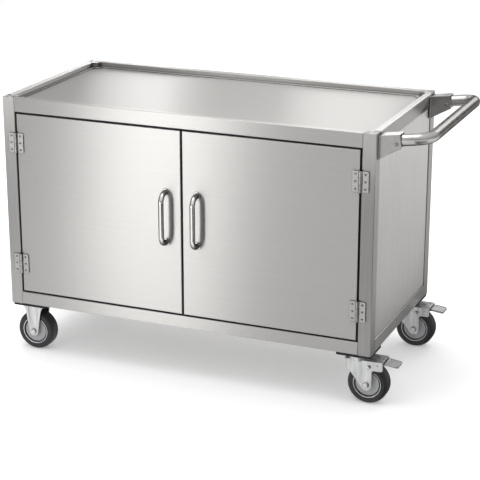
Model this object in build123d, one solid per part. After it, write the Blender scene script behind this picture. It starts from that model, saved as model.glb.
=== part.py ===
from build123d import *
import math
import os

# Cabinet trolley in welded sheet and tube. Millimetres, +Z up, front face towards -Y, push handle at +X.
# The model is laid out about the middle of the cabinet, with the floor at height 0.

# Cabinet body
cabinet_width = 1200.0
cabinet_depth = 590.0
cabinet_height = 670.0
sheet = 1.5
panel_recess = 4.0

# Frame of square and rectangular tube
post_size = 40.0
top_rail_height = 44.0
bottom_rail_height = 40.0
rim_width = 20.0
floor_rail_width = 40.0
tube_wall = 2.0
tube_corner_radius = 2.5

# Recessed top: the rim stands above a narrow ledge, and the pan lies a step lower
rim_height = 15.0
ledge_width = 8.0
pan_step = 4.0
tray_skirt = 18.0
tray_clearance = 0.3

# Inside of the cabinet
shelf_rise = 284.0
shelf_lip = 28.0
shelf_setback = 10.0
shelf_clearance = 0.4
shelf_angle_leg = 25.0
shelf_angle_thickness = 2.0
back_clearance = 1.0
catch_length = 46.0
catch_height = 18.0
catch_offset = 75.0
catch_gap = 0.4
catch_drop = 5.0
catch_chamfer = 2.5

# Doors
door_gap = 6.0
door_thickness = 20.0
door_edge_radius = 1.5
door_back_clearance = 3.0
liner_clearance = 0.2

# Butt hinges on the front face
hinge_height = 62.0
hinge_margin = 60.0
leaf_width = 25.0
leaf_thickness = 3.0
leaf_corner_radius = 4.0
knuckle_radius = 5.0
knuckle_gap = 0.4
pin_radius = 2.5
pin_head_radius = 4.2
pin_head_height = 1.6
leaf_screw_spacing = 22.0
leaf_screw_radius = 2.0
leaf_screw_length = 7.0
leaf_screw_head_radius = 3.6
leaf_screw_head_height = 1.6

# Door pulls of bent round bar
pull_bar_radius = 8.0
pull_spacing = 156.0
pull_projection = 37.0
pull_bend_radius = 26.0
pull_offset = 51.0
pull_rise = 17.0
pull_collar_radius = 11.0
pull_collar_height = 3.0
pull_screw_radius = 3.0
pull_screw_depth = 14.0
pull_screw_head_radius = 6.0
pull_screw_head_height = 4.0

# Push handle of round tube in two channel brackets, sloping upward away from the cabinet
handle_tube_radius = 17.0
handle_tube_wall = 2.0
handle_reach = 146.0
handle_tilt = 8.0
handle_inset = 37.0
handle_drop = 28.0
handle_bend_radius = 42.0
bracket_length = 66.0
bracket_sheet = 3.0
bracket_flange = 4.0
bracket_flange_lip = 3.0
bracket_tail = 49.0
bracket_screw_radius = 3.0
bracket_screw_length = 10.0
bracket_screw_head_radius = 5.0
bracket_screw_head_height = 3.5
bracket_screw_spacing = 16.0
bracket_screw_lift = 10.0
rivet_radius = 3.0
rivet_head_radius = 5.5
rivet_head_height = 2.5
rivet_setback = 14.0
rivet_drop = 7.0

# Casters
wheel_diameter = 125.0
tyre_width = 48.0
tyre_depth = 18.5
tyre_shoulder = 12.0
hub_overhang = 3.0
hub_side_clearance = 1.0
hub_rim_recess = 3.0
hub_ring_width = 3.0
hub_groove_width = 4.0
hub_groove_depth = 4.0
hub_dish = 4.0
hub_boss_radius = 16.0
axle_radius = 5.0
axle_head_radius = 9.0
axle_head_height = 6.0
axle_nut_radius = 8.5
axle_nut_height = 8.0
caster_plate_thickness = 4.0
caster_plate_corner_radius = 8.0
left_caster_inset = 63.0
right_caster_inset = 50.0
caster_inset_y = 52.0
caster_bolt_spacing_x = 80.0
caster_bolt_edge = 9.0
caster_bolt_radius = 4.0
caster_bolt_head_radius = 6.0
caster_bolt_head_height = 4.5
plate_setback = 4.0
pad_margin = 10.0
pad_thickness = 3.0
pad_setback = 0.5
pad_lip = 2.5
crown_clearance = 11.0
fork_sheet = 3.5
fork_boss_radius = 17.0
fork_bolt_gap = 0.5
fork_corner_radius = 6.0
rigid_boss_radius = 15.0
rigid_neck_half = 25.0
rigid_neck_drop = 30.0
rigid_flare = 19.0
bulge_top_half = 20.0
bulge_top_height = 7.0
bulge_foot_half = 11.0
bulge_foot_height = 3.0
bulge_end_gap = 4.0
swivel_trail = 32.0
crown_reach = 36.0
crown_skirt = 16.0
race_radius = 36.0
race_rounding = 4.0
race_upper_height = 7.0
race_lower_height = 8.0
race_gap = 0.5
kingpin_radius = 7.0
kingpin_head_radius = 13.0
kingpin_head_height = 6.0
kingpin_gap = 0.3

# Brake pedals
brake_angle = 63.0
brake_pivot_clearance = 11.7
brake_pin_radius = 3.0
brake_shoe_x = 5.0
brake_shoe_lift = 2.2
brake_shoe_radius = 3.0
housing_reach = 16.0
housing_drop = 18.0
pedal_gap = 4.0
pedal_side_gap = 5.0
pedal_arm_thickness = 6.0
pedal_pad_length = 40.0
pedal_pad_width = 48.0
pedal_pad_thickness = 6.0
pedal_pad_lift = 8.0
pedal_pad_slope = 6.0
pedal_pad_border = 4.0
pedal_pad_recess = 1.0
pedal_corner_radius = 6.0

# Clearances shared by many fits, and the rounded share of the height of every fastener head
running_clearance = 0.05
screw_clearance = 0.1
head_rounding = 0.7

# Levels and faces that follow from the sizes above
wheel_radius = wheel_diameter / 2
hub_radius = wheel_radius - tyre_depth
hub_width = tyre_width + 2 * hub_overhang
fork_half_gap = hub_width / 2 + hub_side_clearance
fork_half_width = fork_half_gap + fork_sheet
crown_top = wheel_diameter + crown_clearance + fork_sheet
race_height = race_lower_height + race_gap + race_upper_height
plate_bottom = crown_top + race_height
plate_top = plate_bottom + caster_plate_thickness
cabinet_bottom = plate_top + pad_thickness
cabinet_top = cabinet_bottom + cabinet_height
opening_bottom = cabinet_bottom + bottom_rail_height
opening_top = cabinet_top - top_rail_height
half_width = cabinet_width / 2
half_depth = cabinet_depth / 2
front_y = -half_depth
opening_half = half_width - post_size
post_inner_y = half_depth - post_size
door_back_y = front_y + door_thickness
inner_front_y = door_back_y + door_back_clearance
back_panel_y = half_depth - panel_recess - sheet
door_bottom = opening_bottom + door_gap
door_top = opening_top - door_gap
door_middle = (door_bottom + door_top) / 2
left_caster_x = left_caster_inset - half_width
right_caster_x = half_width - right_caster_inset
caster_y = half_depth - caster_inset_y
caster_bolt_x = caster_bolt_spacing_x / 2
caster_bolt_y = fork_half_width + fork_bolt_gap + caster_bolt_head_radius
caster_plate_half_x = caster_bolt_x + caster_bolt_edge
caster_plate_half_y = caster_bolt_y + caster_bolt_edge
handle_z = cabinet_top - handle_drop
handle_half_span = half_depth - handle_inset
handle_slope = math.radians(handle_tilt)
grip_x = half_width + handle_reach * math.cos(handle_slope)
grip_z = handle_z + handle_reach * math.sin(handle_slope)

# Reference point: on the floor, under the middle of the overall length and depth
origin_x = (grip_x + handle_tube_radius - half_width) / 2
origin_y = (half_depth + front_y - pull_projection - pull_bar_radius) / 2

nodes = {}


def block(corner, opposite):
    """Solid block between two opposite corners, given in any order."""
    low = [min(a, b) for a, b in zip(corner, opposite)]
    high = [max(a, b) for a, b in zip(corner, opposite)]
    size = [b - a for a, b in zip(low, high)]
    middle = [(a + b) / 2 for a, b in zip(low, high)]
    return Pos(*middle) * Box(*size)


def rod(radius, start, end):
    """Round rod between two points that differ along one axis only."""
    line = Vector(*end) - Vector(*start)
    seat = Plane(origin=start, z_dir=line)
    return extrude(seat * Circle(radius), amount=line.length)


def round_head(radius, seat, top):
    """Fastener head between its seat and its top, with a rounded upper edge."""
    head = rod(radius, seat, top)
    upper_edge = head.edges().filter_by(GeomType.CIRCLE).sort_by_distance(seat)[-1]
    height = (Vector(*top) - Vector(*seat)).length
    return fillet(upper_edge, height * head_rounding)


def screw(seat, tip, radius, head_radius, head_height):
    """Screw whose head stands on seat, on the far side from its tip."""
    direction = (Vector(*tip) - Vector(*seat)).normalized()
    top = Vector(*seat) - direction * head_height
    return rod(radius, seat, tip) + round_head(head_radius, seat, tuple(top))


def tube_rail(corner, opposite, along):
    """Rectangular tube with rounded long edges, open at both ends."""
    outer = block(corner, opposite)
    outer = fillet(outer.edges().filter_by(along), tube_corner_radius)
    wall = Vector(tube_wall, tube_wall, tube_wall) - along.direction * tube_wall
    low = [min(a, b) + w for a, b, w in zip(corner, opposite, wall)]
    high = [max(a, b) - w for a, b, w in zip(corner, opposite, wall)]
    return outer - block(low, high)


def group(solids):
    """Several separate solids kept as one node."""
    return Compound(list(solids))


# Hinge places, shared by posts, doors and hinges
hinge_axis_y = front_y - knuckle_radius
hinge_heights = [
    door_bottom + hinge_margin + hinge_height / 2,
    door_top - hinge_margin - hinge_height / 2,
]
leaf_start = knuckle_radius + knuckle_gap
leaf_screw_x = (leaf_start + leaf_width) / 2
leaf_front_y = front_y - leaf_thickness


def hinge_axis_x(side):
    """Hinge axis of the left (-1) or right (+1) door, in the middle of the door gap."""
    return side * (opening_half - door_gap / 2)


def leaf_screw_places(side, direction):
    """Places (x, z) of the screws of the two leaves on one side of the hinge axis."""
    x = hinge_axis_x(side) + direction * leaf_screw_x
    steps = (-leaf_screw_spacing, 0, leaf_screw_spacing)
    return [(x, height + step) for height in hinge_heights for step in steps]


def leaf_screw_holes(side, direction):
    """Cutters for the screws of the two leaves, deep enough for post wall or door skin."""
    radius = leaf_screw_radius + screw_clearance
    deep = front_y + leaf_screw_length + screw_clearance
    return [rod(radius, (x, leaf_front_y, z), (x, deep, z)) for x, z in leaf_screw_places(side, direction)]


def leaf_screws(side, direction):
    """Screws of the two leaves on one side of the hinge axis."""
    tip = leaf_front_y + leaf_screw_length
    return [
        screw(
            (x, leaf_front_y, z),
            (x, tip, z),
            leaf_screw_radius,
            leaf_screw_head_radius,
            leaf_screw_head_height,
        )
        for x, z in leaf_screw_places(side, direction)
    ]


# Handle bracket places, shared by the right posts, brackets and fasteners
bracket_half_inside = handle_tube_radius + screw_clearance
bracket_half_outside = bracket_half_inside + bracket_sheet
bracket_top = handle_z + bracket_half_outside / math.cos(handle_slope)
bracket_foot = handle_z - bracket_tail
flange_face_x = half_width + bracket_flange


def along_handle(reach, rise):
    """Place (x, z) at a reach along the handle's slope from the cabinet's end, and a rise square to it."""
    x = half_width + reach * math.cos(handle_slope) - rise * math.sin(handle_slope)
    z = handle_z + reach * math.sin(handle_slope) + rise * math.cos(handle_slope)
    return x, z


rivet_x, rivet_z = along_handle(bracket_length - rivet_setback, -rivet_drop)


def bracket_screw_places(end):
    """Places (y, z) of the flange screws, inside the front (-1) or rear (+1) bracket and on the post."""
    y = end * (post_inner_y + handle_half_span + bracket_half_inside) / 2
    lowest = bracket_foot + bracket_screw_lift
    return [(y, lowest), (y, lowest + bracket_screw_spacing)]


def bracket_screw_holes(end):
    """Cutters for the flange screws, through flange and post wall."""
    radius = bracket_screw_radius + screw_clearance
    deep = flange_face_x - bracket_screw_length - screw_clearance
    return [rod(radius, (flange_face_x, y, z), (deep, y, z)) for y, z in bracket_screw_places(end)]


# Corner posts: square tubes closed at the top
def corner_post(side, end):
    outer_x = side * half_width
    inner_x = side * (half_width - post_size)
    outer_y = end * half_depth
    inner_y = end * post_inner_y
    post = block((outer_x, outer_y, cabinet_bottom), (inner_x, inner_y, cabinet_top))
    post = fillet(post.edges().filter_by(Axis.Z), tube_corner_radius)
    low = (outer_x - side * tube_wall, outer_y - end * tube_wall, cabinet_bottom)
    high = (inner_x + side * tube_wall, inner_y + end * tube_wall, cabinet_top - tube_wall)
    post -= block(low, high)
    if end < 0:
        post -= leaf_screw_holes(side, side)
    if side > 0:
        post -= bracket_screw_holes(end)
    return post


for end_name, end in (("front", -1), ("rear", 1)):
    for side_name, side in (("left", -1), ("right", 1)):
        nodes[f"{end_name}_{side_name}_post"] = corner_post(side, end)

# Rails between the posts
for end_name, end in (("front", -1), ("rear", 1)):
    outer_y = end * half_depth
    nodes[f"{end_name}_top_rail"] = tube_rail(
        (-opening_half, outer_y, opening_top),
        (opening_half, outer_y - end * rim_width, cabinet_top),
        Axis.X,
    )
    nodes[f"{end_name}_bottom_rail"] = tube_rail(
        (-opening_half, outer_y, cabinet_bottom),
        (opening_half, outer_y - end * floor_rail_width, opening_bottom),
        Axis.X,
    )
for side_name, side in (("left", -1), ("right", 1)):
    outer_x = side * half_width
    nodes[f"{side_name}_top_rail"] = tube_rail(
        (outer_x, -post_inner_y, opening_top),
        (outer_x - side * rim_width, post_inner_y, cabinet_top),
        Axis.Y,
    )
    nodes[f"{side_name}_bottom_rail"] = tube_rail(
        (outer_x, -post_inner_y, cabinet_bottom),
        (outer_x - side * floor_rail_width, post_inner_y, opening_bottom),
        Axis.Y,
    )

# Top tray: folded sheet between the rails, notched round the posts
tray_half_x = half_width - rim_width
tray_half_y = half_depth - rim_width
tray_notch = post_size - rim_width + tray_clearance
ledge_top = cabinet_top - rim_height
pan_top = ledge_top - pan_step


def tray_layer(inset, low, high):
    """Slab of the notched tray outline, drawn in by inset, between two heights."""
    x = tray_half_x - inset
    y = tray_half_y - inset
    long_part = block((-x, tray_notch - y, low), (x, y - tray_notch, high))
    wide_part = block((tray_notch - x, -y, low), (x - tray_notch, y, high))
    return long_part + wide_part


def tray_wall(inset, low, high):
    """Upright wall of one sheet thickness along the outline drawn in by inset."""
    return tray_layer(inset, low, high) - tray_layer(inset + sheet, low, high)


tray_skirt_bottom = ledge_top - tray_skirt
ledge_bottom = ledge_top - sheet
nodes["top_tray"] = (
    tray_wall(0, tray_skirt_bottom, ledge_top)
    + (tray_layer(0, ledge_bottom, ledge_top) - tray_layer(ledge_width, ledge_bottom, ledge_top))
    + tray_wall(ledge_width - sheet, pan_top - sheet, ledge_top)
    + tray_layer(ledge_width - sheet, pan_top - sheet, pan_top)
)

# Side and back panels, set back a little from the faces of the frame
for side_name, side in (("left", -1), ("right", 1)):
    face_x = side * (half_width - panel_recess)
    nodes[f"{side_name}_side_panel"] = block(
        (face_x, -post_inner_y, opening_bottom), (face_x - side * sheet, post_inner_y, opening_top)
    )
nodes["back_panel"] = block(
    (-opening_half, back_panel_y, opening_bottom), (opening_half, back_panel_y + sheet, opening_top)
)

# Floor of the cabinet, lying on the bottom rails between the posts
floor_top = opening_bottom + sheet
floor_half_x = half_width - panel_recess - sheet - back_clearance
floor_rear_y = back_panel_y - back_clearance
floor_side_y = post_inner_y - tray_clearance
floor_post_x = opening_half - tray_clearance
nodes["floor_panel"] = block(
    (-floor_half_x, -floor_side_y, opening_bottom), (floor_half_x, floor_side_y, floor_top)
) + block((-floor_post_x, inner_front_y, opening_bottom), (floor_post_x, floor_rear_y, floor_top))

# Inner shelf with folded lips, on two angles welded to the posts
shelf_bottom = floor_top + shelf_rise
shelf_top = shelf_bottom + sheet
shelf_half_x = opening_half - shelf_clearance
shelf_lip_half_x = opening_half - shelf_angle_leg - shelf_clearance
shelf_front_y = inner_front_y + shelf_setback
shelf_rear_y = back_panel_y - back_clearance
shelf = block((-shelf_half_x, shelf_front_y, shelf_bottom), (shelf_half_x, shelf_rear_y, shelf_top))
for lip_y, inward in ((shelf_front_y, 1), (shelf_rear_y, -1)):
    shelf += block(
        (-shelf_lip_half_x, lip_y, shelf_top - shelf_lip),
        (shelf_lip_half_x, lip_y + inward * sheet, shelf_top),
    )
nodes["inner_shelf"] = shelf


def shelf_angle(side):
    """Angle under one end of the shelf, from the front post to the rear post."""
    face_x = side * opening_half
    level_leg = block(
        (face_x, inner_front_y, shelf_bottom - shelf_angle_thickness),
        (face_x - side * shelf_angle_leg, shelf_rear_y, shelf_bottom),
    )
    upright_leg = block(
        (face_x, inner_front_y, shelf_bottom - shelf_angle_leg),
        (face_x - side * shelf_angle_thickness, shelf_rear_y, shelf_bottom),
    )
    return level_leg + upright_leg


nodes["shelf_angles"] = group(shelf_angle(side) for side in (-1, 1))


def door_catch(side):
    """Magnetic catch on the front lip of the shelf, just behind the closed door."""
    middle = side * catch_offset
    top = shelf_top - catch_drop
    low = (middle - catch_length / 2, door_back_y + catch_gap, top - catch_height)
    high = (middle + catch_length / 2, shelf_front_y, top)
    return chamfer(block(low, high).edges().filter_by(Axis.Y), catch_chamfer)


nodes["door_catches"] = group(door_catch(side) for side in (-1, 1))


# Push handle: a straight grip between two elbows, whose legs are welded to the bracket flanges
handle_plane = Plane(
    origin=(half_width, 0, handle_z),
    x_dir=(math.cos(handle_slope), 0, math.sin(handle_slope)),
    z_dir=(-math.sin(handle_slope), 0, math.cos(handle_slope)),
)
grip_half = handle_half_span - handle_bend_radius


def handle_elbow(end, radius):
    """Round bar along the leg and the bend at the front (-1) or rear (+1) end of the handle."""
    y = end * handle_half_span
    leg = Line((-handle_tube_radius, y), (handle_reach - handle_bend_radius, y))
    bend = JernArc(leg @ 1, leg % 1, handle_bend_radius, -90 * end)
    path = handle_plane * (leg + bend)
    seat = Plane(origin=path @ 0, z_dir=path % 0)
    behind_flange = block(
        (half_width - handle_reach, -half_depth, 0), (flange_face_x, half_depth, cabinet_top)
    )
    return sweep(seat * Circle(radius), path=path) - behind_flange


def handle_grip(radius):
    return rod(radius, (grip_x, -grip_half, grip_z), (grip_x, grip_half, grip_z))


def rivet_rod(end, radius):
    """Rod through one bracket and the tube end in it."""
    middle = end * handle_half_span
    near = middle - bracket_half_outside
    far = middle + bracket_half_outside
    return rod(radius, (rivet_x, near, rivet_z), (rivet_x, far, rivet_z))


rivet_holes = [rivet_rod(end, rivet_radius + screw_clearance) for end in (-1, 1)]
handle_bore_radius = handle_tube_radius - handle_tube_wall
nodes["push_handle_grip"] = handle_grip(handle_tube_radius) - handle_grip(handle_bore_radius)
nodes["push_handle_elbows"] = group(
    handle_elbow(end, handle_tube_radius) - handle_elbow(end, handle_bore_radius) - rivet_holes
    for end in (-1, 1)
)


def handle_bracket(end):
    """Channel of folded sheet: sloping top, tapered sides and a flange against post and rail."""
    middle = end * handle_half_span
    lip = bracket_half_outside + bracket_flange_lip
    tip_low = along_handle(bracket_length, -bracket_half_outside)
    tip_inside = along_handle(bracket_length, bracket_half_inside)
    tip_high = along_handle(bracket_length, bracket_half_outside)
    root_inside = (half_width, handle_z + bracket_half_inside / math.cos(handle_slope))
    root_high = (half_width, bracket_top)
    flange = block((half_width, middle - lip, bracket_foot), (flange_face_x, middle + lip, bracket_top))
    roof = Plane.XZ * make_face(Polyline(root_inside, tip_inside, tip_high, root_high, close=True))
    cheek = Plane.XZ * make_face(
        Polyline((half_width, bracket_foot), tip_low, tip_high, root_high, close=True)
    )
    near_side = Pos(0, middle - bracket_half_outside, 0)
    far_side = Pos(0, middle + bracket_half_inside, 0)
    bracket = flange + near_side * extrude(roof, amount=2 * bracket_half_outside, dir=(0, 1, 0))
    for side in (near_side, far_side):
        bracket += side * extrude(cheek, amount=bracket_sheet, dir=(0, 1, 0))
    return bracket - rivet_holes - bracket_screw_holes(end)


def handle_rivet(end):
    """Cross rivet with a round head on each cheek of the bracket."""
    rivet = rivet_rod(end, rivet_radius)
    for cheek in (-1, 1):
        seat_y = end * handle_half_span + cheek * bracket_half_outside
        top_y = seat_y + cheek * rivet_head_height
        rivet += round_head(rivet_head_radius, (rivet_x, seat_y, rivet_z), (rivet_x, top_y, rivet_z))
    return rivet


handle_fasteners = []
for end_name, end in (("front", -1), ("rear", 1)):
    nodes[f"{end_name}_handle_bracket"] = handle_bracket(end)
    handle_fasteners.append(handle_rivet(end))
    for y, z in bracket_screw_places(end):
        handle_fasteners.append(
            screw(
                (flange_face_x, y, z),
                (flange_face_x - bracket_screw_length, y, z),
                bracket_screw_radius,
                bracket_screw_head_radius,
                bracket_screw_head_height,
            )
        )
nodes["handle_fasteners"] = group(handle_fasteners)


# Hinges: the frame leaf has the two outer knuckles, the door leaf the middle one
def hinge_leaf(side, direction, spans):
    """Two hinge leaves, upper and lower, on one side of a hinge axis. spans lists the knuckles' heights."""
    axis_x = hinge_axis_x(side)
    edge_x = axis_x + direction * leaf_width
    plate_x = axis_x + direction * leaf_start
    leaves = []
    for height in hinge_heights:
        leaf = block(
            (plate_x, leaf_front_y, height - hinge_height / 2), (edge_x, front_y, height + hinge_height / 2)
        )
        outer_edges = leaf.edges().filter_by(Axis.Y).sort_by(Axis.X)
        outer_edges = outer_edges[-2:] if direction > 0 else outer_edges[:2]
        leaf = fillet(outer_edges, leaf_corner_radius)
        for low, high in spans:
            bottom = (axis_x, hinge_axis_y, height + low)
            top = (axis_x, hinge_axis_y, height + high)
            leaf += rod(knuckle_radius, bottom, top)
            leaf += block((axis_x, leaf_front_y, height + low), (plate_x, front_y, height + high))
        bore_bottom = (axis_x, hinge_axis_y, height - hinge_height / 2)
        bore_top = (axis_x, hinge_axis_y, height + hinge_height / 2)
        leaf -= rod(pin_radius + running_clearance, bore_bottom, bore_top)
        leaves.append(leaf - leaf_screw_holes(side, direction))
    return leaves


def hinge_pin(side, height):
    """Hinge pin with a cap at each end."""
    x = hinge_axis_x(side)
    low = height - hinge_height / 2
    high = height + hinge_height / 2
    pin = rod(pin_radius, (x, hinge_axis_y, low), (x, hinge_axis_y, high))
    for seat_z, top_z in ((low, low - pin_head_height), (high, high + pin_head_height)):
        pin += round_head(pin_head_radius, (x, hinge_axis_y, seat_z), (x, hinge_axis_y, top_z))
    return pin


knuckle_half = hinge_height / 6
frame_knuckles = [(-hinge_height / 2, -knuckle_half), (knuckle_half, hinge_height / 2)]
door_knuckles = [(knuckle_gap - knuckle_half, knuckle_half - knuckle_gap)]
nodes["hinge_frame_leaves"] = group(hinge_leaf(-1, -1, frame_knuckles) + hinge_leaf(1, 1, frame_knuckles))
nodes["hinge_pins"] = group(hinge_pin(side, height) for side in (-1, 1) for height in hinge_heights)
nodes["hinge_frame_screws"] = group(leaf_screws(-1, -1) + leaf_screws(1, 1))

# Doors: a folded skin closed by a flat liner, with a bar pull near the meeting edges
pull_heights = [
    door_middle + pull_rise - pull_spacing / 2,
    door_middle + pull_rise + pull_spacing / 2,
]
pull_y = front_y - pull_projection
skin_back_y = front_y + sheet


def door_skin(side):
    hinge_x = side * (opening_half - door_gap)
    free_x = side * door_gap / 2
    skin = block((hinge_x, front_y, door_bottom), (free_x, door_back_y, door_top))
    front_face = skin.faces().sort_by(Axis.Y)[0]
    skin = fillet(front_face.edges(), door_edge_radius)
    skin -= block(
        (hinge_x - side * sheet, skin_back_y, door_bottom + sheet),
        (free_x + side * sheet, door_back_y, door_top - sheet),
    )
    for height in pull_heights:
        x = side * pull_offset
        skin -= rod(pull_screw_radius + screw_clearance, (x, front_y, height), (x, skin_back_y, height))
    return skin - leaf_screw_holes(side, -side)


def door_liner(side):
    margin = sheet + liner_clearance
    hinge_x = side * (opening_half - door_gap - margin)
    free_x = side * (door_gap / 2 + margin)
    return block(
        (hinge_x, door_back_y - sheet, door_bottom + margin), (free_x, door_back_y, door_top - margin)
    )


def door_pull(side):
    x = side * pull_offset
    low, high = pull_heights
    path = FilletPolyline(
        (x, front_y, low),
        (x, pull_y, low),
        (x, pull_y, high),
        (x, front_y, high),
        radius=min(pull_bend_radius, pull_projection - pull_collar_height),
    )
    seat = Plane(origin=path @ 0, z_dir=path % 0)
    pull = sweep(seat * Circle(pull_bar_radius), path=path)
    for height in pull_heights:
        pull += rod(pull_collar_radius, (x, front_y, height), (x, front_y - pull_collar_height, height))
        hole_end = front_y - pull_screw_depth - screw_clearance
        pull -= rod(pull_screw_radius + screw_clearance, (x, front_y, height), (x, hole_end, height))
    return pull


def pull_screws(side):
    x = side * pull_offset
    return [
        screw(
            (x, skin_back_y, height),
            (x, front_y - pull_screw_depth, height),
            pull_screw_radius,
            pull_screw_head_radius,
            pull_screw_head_height,
        )
        for height in pull_heights
    ]


for side_name, side in (("left", -1), ("right", 1)):
    nodes[f"{side_name}_door_skin"] = door_skin(side)
    nodes[f"{side_name}_door_liner"] = door_liner(side)
    nodes[f"{side_name}_door_pull"] = door_pull(side)
    nodes[f"{side_name}_door_hinge_leaves"] = group(hinge_leaf(side, -side, door_knuckles))
    nodes[f"{side_name}_door_screws"] = group(leaf_screws(side, -side) + pull_screws(side))

# Casters: rubber pads under the frame, rigid casters at the left, braked swivel casters at the right
caster_bolt_places = [
    (x, y)
    for x in (-caster_bolt_x, caster_bolt_x)
    for y in (-caster_bolt_y, caster_bolt_y)
]


def caster_plate(x, end, margin, setback, low, high):
    """Flat plate about one caster, larger than its own plate by margin, set back from the frame's faces."""
    y = end * caster_y
    half_x = caster_plate_half_x + margin
    half_y = caster_plate_half_y + margin
    limit_x = half_width - setback
    limit_y = half_depth - setback
    left = max(x - half_x, -limit_x)
    right = min(x + half_x, limit_x)
    near = max(y - half_y, -limit_y)
    far = min(y + half_y, limit_y)
    plate = block((left, near, low), (right, far, high))
    plate = fillet(plate.edges().filter_by(Axis.Z), caster_plate_corner_radius)
    for dx, dy in caster_bolt_places:
        plate -= rod(caster_bolt_radius + screw_clearance, (x + dx, y + dy, low), (x + dx, y + dy, high))
    return plate


def caster_pad(x, end):
    """Rubber pad between a caster and the frame, with a lip round the caster's plate."""
    pad = caster_plate(x, end, pad_margin, pad_setback, plate_bottom, cabinet_bottom)
    return pad - caster_plate(x, end, pad_margin - pad_lip, pad_setback + pad_lip, plate_bottom, plate_top)


def caster_bolts(x, end):
    y = end * caster_y
    return [
        screw(
            (x + dx, y + dy, plate_bottom),
            (x + dx, y + dy, cabinet_bottom),
            caster_bolt_radius,
            caster_bolt_head_radius,
            caster_bolt_head_height,
        )
        for dx, dy in caster_bolt_places
    ]


corners = [(x, end) for x in (left_caster_x, right_caster_x) for end in (-1, 1)]
nodes["caster_pads"] = group(caster_pad(x, end) for x, end in corners)
nodes["caster_bolts"] = group(bolt for x, end in corners for bolt in caster_bolts(x, end))


def tangent_point(x, z, radius):
    """Point where a line from (x, z), left of the axle, touches the under side of a circle about it."""
    angle = math.atan2(z, x) + math.acos(radius / math.hypot(x, z))
    return radius * math.cos(angle), radius * math.sin(angle)


def fork_cheek(face, boss_radius, axle_x, side_y):
    """Sheet cheek of a fork: a face drawn about the axle, rounded below it, with the axle hole."""
    seat = Plane(origin=(axle_x, side_y, wheel_radius), x_dir=(1, 0, 0), z_dir=(0, -1, 0))
    cheek = face + Circle(boss_radius) - Circle(axle_radius + screw_clearance)
    return extrude(seat * cheek, amount=fork_sheet, dir=(0, 1, 0))


def axle_bolt(axle_x, middle_y):
    """Axle bolt with a round head at the front and a nut at the rear."""
    near = middle_y - fork_half_width
    far = middle_y + fork_half_width
    nut_end = far + axle_nut_height
    shank = rod(axle_radius, (axle_x, near, wheel_radius), (axle_x, far, wheel_radius))
    head = round_head(
        axle_head_radius, (axle_x, near, wheel_radius), (axle_x, near - axle_head_height, wheel_radius)
    )
    nut = rod(axle_nut_radius, (axle_x, far, wheel_radius), (axle_x, nut_end, wheel_radius))
    return shank + head + nut


def rigid_cheek_face():
    """Outline of a rigid fork's cheek about the axle: straight flanks that flare out below the plate."""
    top_z = plate_bottom - wheel_radius
    neck_z = top_z - rigid_neck_drop
    touch_x, touch_z = tangent_point(-rigid_neck_half, neck_z, rigid_boss_radius)
    outline = Line((touch_x, touch_z), (-touch_x, touch_z))
    for side in (-1, 1):
        touch = Vector(-side * touch_x, touch_z)
        neck = Vector(side * rigid_neck_half, neck_z)
        top = Vector(side * (rigid_neck_half + rigid_flare), top_z)
        outline += Line(touch, neck) + TangentArc(neck, top, tangent=neck - touch)
    outline += Line((-rigid_neck_half - rigid_flare, top_z), (rigid_neck_half + rigid_flare, top_z))
    return make_face(outline)


def rigid_fork_bulge(y, facing):
    """Pressed bulge down the outer face of a cheek that lies at y and faces -Y (-1) or +Y (+1)."""
    foot_z = wheel_radius + axle_head_radius + bulge_end_gap
    top_z = plate_bottom - bulge_end_gap
    foot = (foot_z, bulge_foot_half, bulge_foot_height)
    top = (top_z, bulge_top_half, bulge_top_height)
    ends = []
    for z, half, height in (foot, top):
        seat = Plane(origin=(left_caster_x, y, z), x_dir=(1, 0, 0), z_dir=(0, 0, 1))
        arc = ThreePointArc((-half, 0), (0, facing * height), (half, 0))
        ends.append(seat * make_face(arc + Line((-half, 0), (half, 0))))
    return loft(ends)


def rigid_fork(end):
    """Pressed fork of a rigid caster: a bolted plate and two tapered, bulging cheeks."""
    y = end * caster_y
    fork = caster_plate(left_caster_x, end, 0, plate_setback, plate_bottom, plate_top)
    for cheek_y in (y - fork_half_width, y + fork_half_gap):
        fork += fork_cheek(rigid_cheek_face(), rigid_boss_radius, left_caster_x, cheek_y)
    for facing in (-1, 1):
        fork += rigid_fork_bulge(y + facing * fork_half_width, facing)
    return fork


def swivel_plate(end):
    """Top plate of a swivel caster, with the upper bearing race below it."""
    x, y = right_caster_x, end * caster_y
    race_low = (x, y, plate_bottom - race_upper_height)
    race = rod(race_radius, race_low, (x, y, plate_bottom))
    lower_edge = race.edges().filter_by(GeomType.CIRCLE).sort_by(Axis.Z)[0]
    plate = caster_plate(x, end, 0, plate_setback, plate_bottom, plate_top)
    plate += fillet(lower_edge, race_rounding)
    return plate - rod(kingpin_radius + running_clearance, race_low, (x, y, plate_top))


def kingpin(end):
    """Kingpin riveted into the plate, with its head under the fork's crown."""
    x, y = right_caster_x, end * caster_y
    seat = (x, y, crown_top - fork_sheet - kingpin_gap)
    head_end = (x, y, crown_top - fork_sheet - kingpin_gap - kingpin_head_height)
    return rod(kingpin_radius, seat, (x, y, plate_top)) + round_head(kingpin_head_radius, seat, head_end)


# Places on a swivel caster, measured from its axle
swivel_axle_x = right_caster_x + swivel_trail
crown_height = crown_top - wheel_radius
brake_radius = wheel_radius + brake_pivot_clearance
brake_x = brake_radius * math.cos(math.radians(brake_angle))
brake_z = brake_radius * math.sin(math.radians(brake_angle))
brake_shoe_drop = brake_pivot_clearance - brake_shoe_lift
pivot_x = swivel_axle_x + brake_x
pivot_z = wheel_radius + brake_z


def brake_pin(end, radius):
    """Rod through both cheeks of the fork on the pedal's pivot."""
    y = end * caster_y
    return rod(radius, (pivot_x, y - fork_half_width, pivot_z), (pivot_x, y + fork_half_width, pivot_z))


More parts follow.
